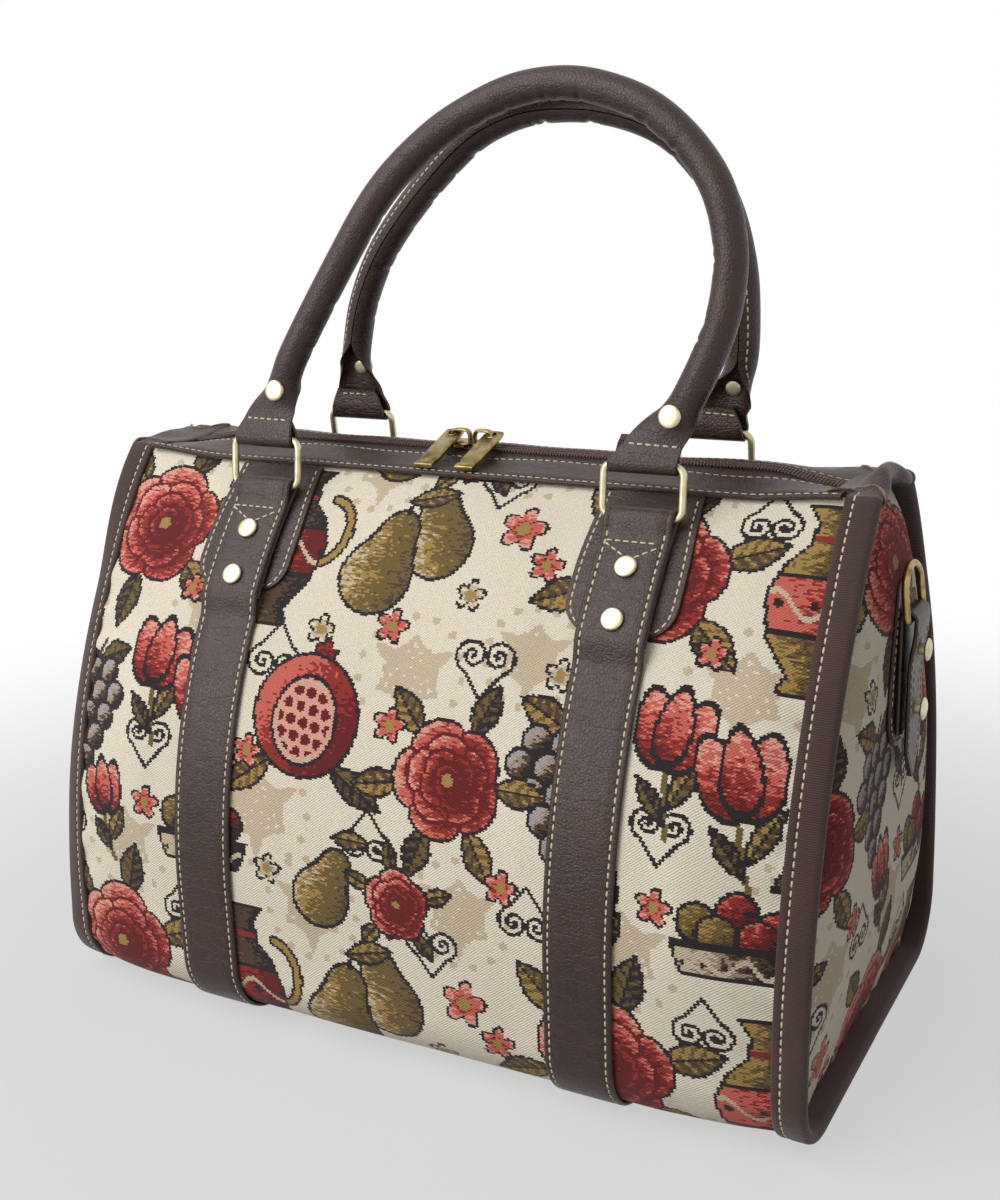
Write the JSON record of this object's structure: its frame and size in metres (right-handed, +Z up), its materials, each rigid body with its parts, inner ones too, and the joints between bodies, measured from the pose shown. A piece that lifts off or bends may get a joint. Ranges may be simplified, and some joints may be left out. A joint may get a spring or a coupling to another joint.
{
  "type": "carpet bag",
  "caption": "Zip-top holdall of woven tapestry with leather straps, bound end seams, ring-hung rolled handles, zip sliders with pulls, and D-rings at the ends.",
  "frame": {"origin": "on the ground under the middle of the bag", "axes": "+X along the bag to its right end, +Y to the back, +Z up; the front faces -Y"},
  "size_m": [0.4284, 0.2358, 0.4397],
  "materials": {
    "tapestry": "twill tapestry with a woven pattern",
    "leather": "dark brown, satin, stitched with cream thread",
    "grosgrain": "ribbed dark brown binding",
    "zip_tape": "dark brown herringbone tape",
    "zip_coil": "brown nylon coil",
    "pale_brass": "pale brass plate",
    "antique_brass": "darkened brass plate",
    "board": "stiff fibreboard"
  },
  "bodies": {
    "bag": {"bottom_panel": "tapestry", "base_board": "board", "zip_coil": "zip_coil", "front_panel": "tapestry", "front_zip_band": "leather", "front_zip_tape": "zip_tape", "front_strap_rivets": "pale_brass", "front_left_patch": "leather", "front_right_patch": "leather", "back_panel": "tapestry", "back_zip_band": "leather", "back_zip_tape": "zip_tape", "back_strap_rivets": "pale_brass", "back_left_patch": "leather", "back_right_patch": "leather", "left_strap": "leather", "left_end_panel": "tapestry", "left_binding": "grosgrain", "left_zip_end": "leather", "left_end_patch": "leather", "left_end_strap": "leather", "left_end_rivets": "pale_brass", "right_strap": "leather", "right_end_panel": "tapestry", "right_binding": "grosgrain", "right_zip_end": "leather", "right_end_patch": "leather", "right_end_strap": "leather", "right_end_rivets": "pale_brass"},
    "front_left_ring": {"front_left_ring": "pale_brass"},
    "front_right_ring": {"front_right_ring": "pale_brass"},
    "front_handle": {"front_handle": "leather", "front_handle_rivets": "pale_brass"},
    "back_left_ring": {"back_left_ring": "pale_brass"},
    "back_right_ring": {"back_right_ring": "pale_brass"},
    "back_handle": {"back_handle": "leather", "back_handle_rivets": "pale_brass"},
    "left_slider": {"left_slider": "antique_brass"},
    "left_pull": {"left_pull": "antique_brass"},
    "left_d_ring": {"left_d_ring": "antique_brass"},
    "right_slider": {"right_slider": "antique_brass"},
    "right_pull": {"right_pull": "antique_brass"},
    "right_d_ring": {"right_d_ring": "antique_brass"}
  },
  "joints": [
    {"name": "front_left_ring_swing", "type": "hinge", "parent": "bag", "child": "front_left_ring", "pos_m": [-0.098, -0.04473, 0.2535], "axis": [1, 0, 0], "range_deg": [0, 80]},
    {"name": "front_right_ring_swing", "type": "hinge", "parent": "bag", "child": "front_right_ring", "pos_m": [0.098, -0.04473, 0.2535], "axis": [1, 0, 0], "range_deg": [0, 80]},
    {"name": "front_handle_fold", "type": "hinge", "parent": "front_left_ring", "child": "front_handle", "pos_m": [-0.098, -0.04199, 0.27583], "axis": [1, 0, 0], "range_deg": [0, 60]},
    {"name": "back_left_ring_swing", "type": "hinge", "parent": "bag", "child": "back_left_ring", "pos_m": [-0.098, 0.04473, 0.2535], "axis": [-1, 0, 0], "range_deg": [0, 80]},
    {"name": "back_right_ring_swing", "type": "hinge", "parent": "bag", "child": "back_right_ring", "pos_m": [0.098, 0.04473, 0.2535], "axis": [-1, 0, 0], "range_deg": [0, 80]},
    {"name": "back_handle_fold", "type": "hinge", "parent": "back_left_ring", "child": "back_handle", "pos_m": [-0.098, 0.04199, 0.27583], "axis": [-1, 0, 0], "range_deg": [0, 60]},
    {"name": "left_slider_run", "type": "slide", "parent": "bag", "child": "left_slider", "axis": [-1, 0, 0], "range_m": [0, 0.128]},
    {"name": "left_pull_swivel", "type": "hinge", "parent": "left_slider", "child": "left_pull", "pos_m": [-0.0188, 0, 0.27415], "axis": [0, 0.3289, -0.9444], "range_deg": [0, 60]},
    {"name": "right_slider_run", "type": "slide", "parent": "bag", "child": "right_slider", "axis": [1, 0, 0], "range_m": [0, 0.144]},
    {"name": "right_pull_swivel", "type": "hinge", "parent": "right_slider", "child": "right_pull", "pos_m": [0.0028, 0, 0.27415], "axis": [0, -0.3289, 0.9444], "range_deg": [0, 60]},
    {"name": "left_d_ring_swing", "type": "hinge", "parent": "bag", "child": "left_d_ring", "pos_m": [-0.2053, 0, 0.21], "axis": [0, -1, 0], "range_deg": [0, 140]},
    {"name": "right_d_ring_swing", "type": "hinge", "parent": "bag", "child": "right_d_ring", "pos_m": [0.2053, 0, 0.21], "axis": [0, 1, 0], "range_deg": [0, 140]}
  ],
  "couplings": [
    {"joint": "front_right_ring_swing", "follows": "front_left_ring_swing", "ratio": 1},
    {"joint": "back_right_ring_swing", "follows": "back_left_ring_swing", "ratio": 1}
  ]
}
